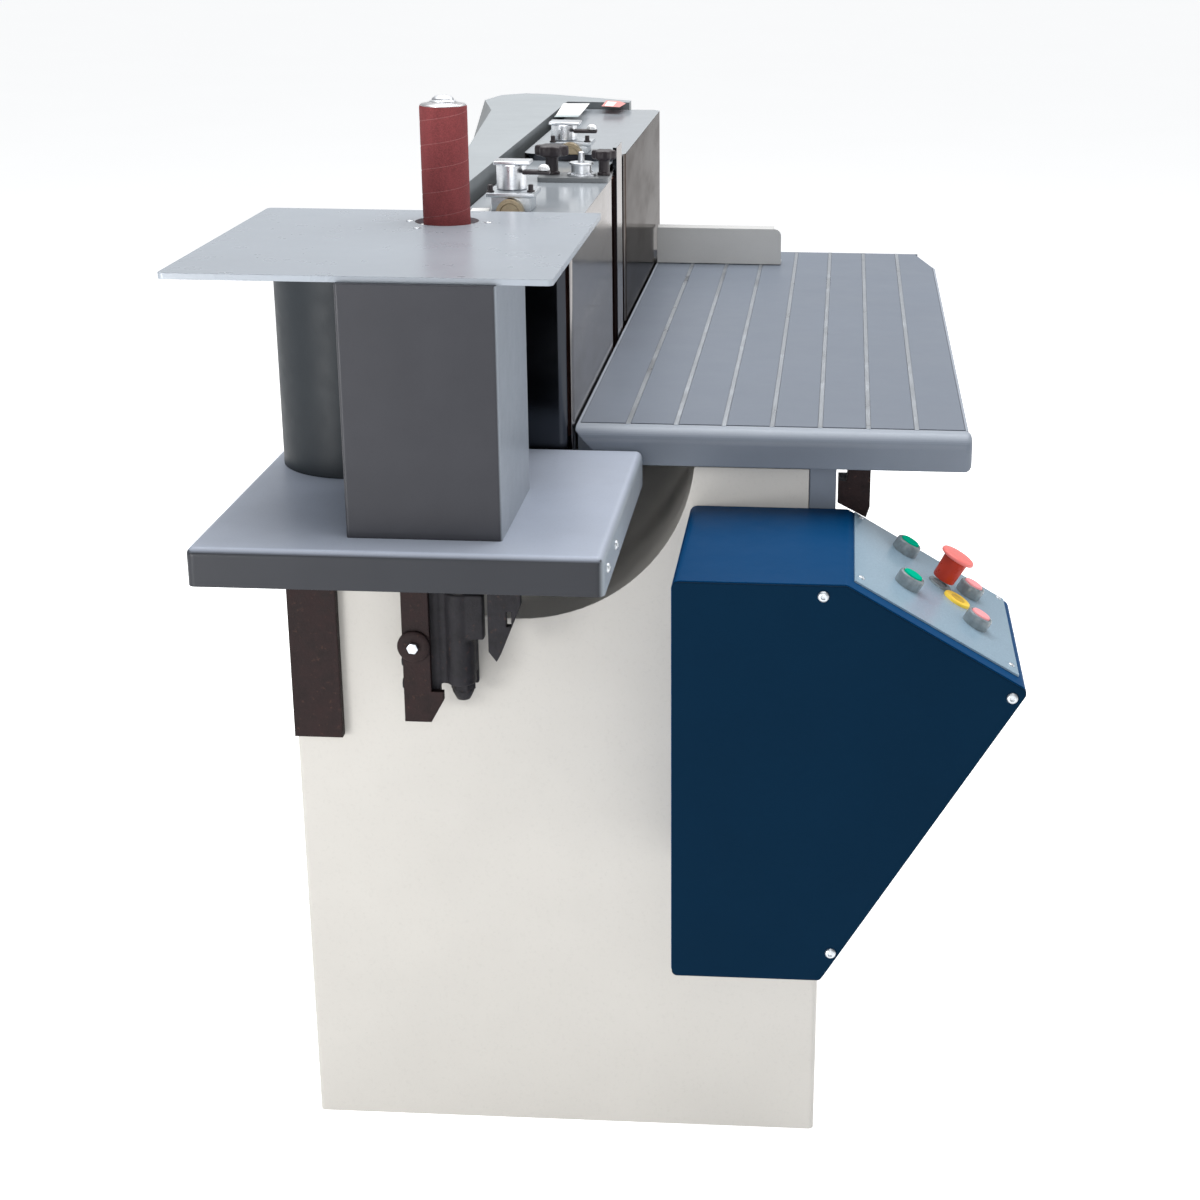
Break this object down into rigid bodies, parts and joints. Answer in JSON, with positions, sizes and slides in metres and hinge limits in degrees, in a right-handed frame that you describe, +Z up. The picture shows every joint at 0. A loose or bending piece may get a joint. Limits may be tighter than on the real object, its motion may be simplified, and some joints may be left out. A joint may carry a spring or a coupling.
{
  "type": "drum sander",
  "caption": "Floor-standing edge sander with an upright belt, a small sanding drum above an end table, a slatted work table, belt adjusters and a sloping control box.",
  "frame": {"origin": "centre of the cabinet's footprint on the floor", "axes": "+Z up, +Y along the machine away from the end table, +X towards the slatted table and the operator"},
  "size_m": [0.8575, 1.673, 1.286],
  "materials": {
    "cabinet_paint": "mottled cream enamel",
    "casing_steel": "polished sheet steel",
    "dark_paint": "dark grey paint",
    "hood_paint": "light grey paint",
    "plate_steel": "ground steel plate",
    "table_grey": "satin grey enamel",
    "bracket_brown": "dark oiled casting",
    "slat_steel": "ground slats",
    "strip_steel": "bright strips",
    "frame_grey": "grey enamel",
    "blue_paint": "blue enamel",
    "navy_paint": "dark blue enamel",
    "panel_plate": "light blue-grey anodised plate",
    "bezel_grey": "translucent grey",
    "green_plastic": "green",
    "red_plastic": "red",
    "yellow_plastic": "yellow",
    "steel": "turned steel",
    "chrome": "chromed",
    "bronze": "bronze",
    "knob_black": "black",
    "rubber": "black rubber",
    "abrasive_cloth": "brown abrasive cloth",
    "motor_grey": "grey casting"
  },
  "bodies": {
    "machine_frame": {"cabinet_shell": "cabinet_paint", "cabinet_base": "dark_paint", "access_panel": "cabinet_paint", "near_casing": "casing_steel", "far_casing": "casing_steel", "bridge_cover": "casing_steel", "unit_deck": "dark_paint", "drum_bearings": "steel", "abrasive_belt": "abrasive_cloth", "pressure_platen": "plate_steel", "drive_motor": "motor_grey", "belt_hood": "hood_paint", "dust_outlet": "hood_paint", "spindle_housing": "dark_paint", "spindle_drive_belt": "rubber", "height_casting": "bracket_brown", "lift_guides": "steel", "table_stop": "frame_grey", "adjuster_blocks": "steel", "bronze_shoes": "bronze", "tracking_base": "dark_paint", "tracking_hub": "steel", "control_box": "blue_paint", "control_cover": "navy_paint", "control_panel": "panel_plate", "control_screws": "chrome", "button_bezels": "bezel_grey", "indicator_disc": "yellow_plastic"},
    "near_drum": {"near_drum": "steel", "drum_pulley": "steel"},
    "far_drum": {"far_drum": "steel"},
    "spindle": {"spindle_shaft": "steel", "rubber_drum": "rubber", "sanding_sleeve": "abrasive_cloth", "drum_cap": "steel", "spindle_nut": "chrome", "spindle_pulley": "steel"},
    "end_table": {"end_table": "table_grey", "table_screws": "steel", "guard_column": "dark_paint", "dust_duct": "dark_paint", "top_plate": "plate_steel", "guide_bars": "bracket_brown", "table_gusset": "bracket_brown", "clamp_bolt": "steel"},
    "side_table": {"table_frame": "frame_grey", "table_slats": "slat_steel", "slat_strips": "strip_steel", "lift_rods": "steel", "table_bracket": "dark_paint"},
    "fence": {"fence": "plate_steel"},
    "near_tension_lever": {"near_tension_lever": "chrome"},
    "far_tension_lever": {"far_tension_lever": "chrome"},
    "tension_knob": {"tension_knob": "knob_black"},
    "tracking_knob": {"tracking_knob": "knob_black"},
    "green_start_button": {"green_start_button": "green_plastic"},
    "green_feed_button": {"green_feed_button": "green_plastic"},
    "red_stop_button": {"red_stop_button": "red_plastic"},
    "red_feed_button": {"red_feed_button": "red_plastic"},
    "stop_button": {"stop_button": "red_plastic"}
  },
  "joints": [
    {"name": "far_drum_spin", "type": "hinge", "parent": "machine_frame", "child": "far_drum", "pos_m": [-0.041, 0.46, 1], "axis": [0, 0, 1], "continuous": true},
    {"name": "near_drum_spin", "type": "hinge", "parent": "machine_frame", "child": "near_drum", "pos_m": [-0.041, -0.545, 1], "axis": [0, 0, 1], "continuous": true},
    {"name": "spindle_spin", "type": "hinge", "parent": "machine_frame", "child": "spindle", "pos_m": [-0.104, -0.633, 1], "axis": [0, 0, 1], "continuous": true},
    {"name": "end_table_height", "type": "slide", "parent": "machine_frame", "child": "end_table", "axis": [0, 0, 1], "range_m": [0, 0.04]},
    {"name": "side_table_height", "type": "slide", "parent": "machine_frame", "child": "side_table", "axis": [0, 0, 1], "range_m": [0, 0.1]},
    {"name": "fence_slide", "type": "slide", "parent": "side_table", "child": "fence", "axis": [0, 1, 0], "range_m": [-0.6, 0.05]},
    {"name": "near_tension_turn", "type": "hinge", "parent": "machine_frame", "child": "near_tension_lever", "pos_m": [-0.06, -0.456, 1.18], "axis": [0, 0, 1], "range_deg": [-60, 30]},
    {"name": "far_tension_turn", "type": "hinge", "parent": "machine_frame", "child": "far_tension_lever", "pos_m": [-0.058, 0, 1.18], "axis": [0, 0, 1], "range_deg": [-60, 30]},
    {"name": "tension_knob_turn", "type": "hinge", "parent": "machine_frame", "child": "tension_knob", "pos_m": [-0.047, -0.208, 1.16], "axis": [0, 0, 1], "continuous": true},
    {"name": "tracking_knob_turn", "type": "hinge", "parent": "machine_frame", "child": "tracking_knob", "pos_m": [0.02, -0.21, 1.16], "axis": [0, 0, 1], "continuous": true},
    {"name": "green_start_button_push", "type": "slide", "parent": "machine_frame", "child": "green_start_button", "axis": [-0.5, 0, -0.866], "range_m": [0, 0.004], "stiffness_N_per_m": 1500},
    {"name": "green_feed_button_push", "type": "slide", "parent": "machine_frame", "child": "green_feed_button", "axis": [-0.5, 0, -0.866], "range_m": [0, 0.004], "stiffness_N_per_m": 1500},
    {"name": "red_stop_button_push", "type": "slide", "parent": "machine_frame", "child": "red_stop_button", "axis": [-0.5, 0, -0.866], "range_m": [0, 0.004], "stiffness_N_per_m": 1500},
    {"name": "red_feed_button_push", "type": "slide", "parent": "machine_frame", "child": "red_feed_button", "axis": [-0.5, 0, -0.866], "range_m": [0, 0.004], "stiffness_N_per_m": 1500},
    {"name": "stop_button_push", "type": "slide", "parent": "machine_frame", "child": "stop_button", "axis": [-0.5, 0, -0.866], "range_m": [0, 0.005]}
  ],
  "couplings": [
    {"joint": "near_drum_spin", "follows": "far_drum_spin", "ratio": 1},
    {"joint": "spindle_spin", "follows": "far_drum_spin", "ratio": 1.5}
  ]
}
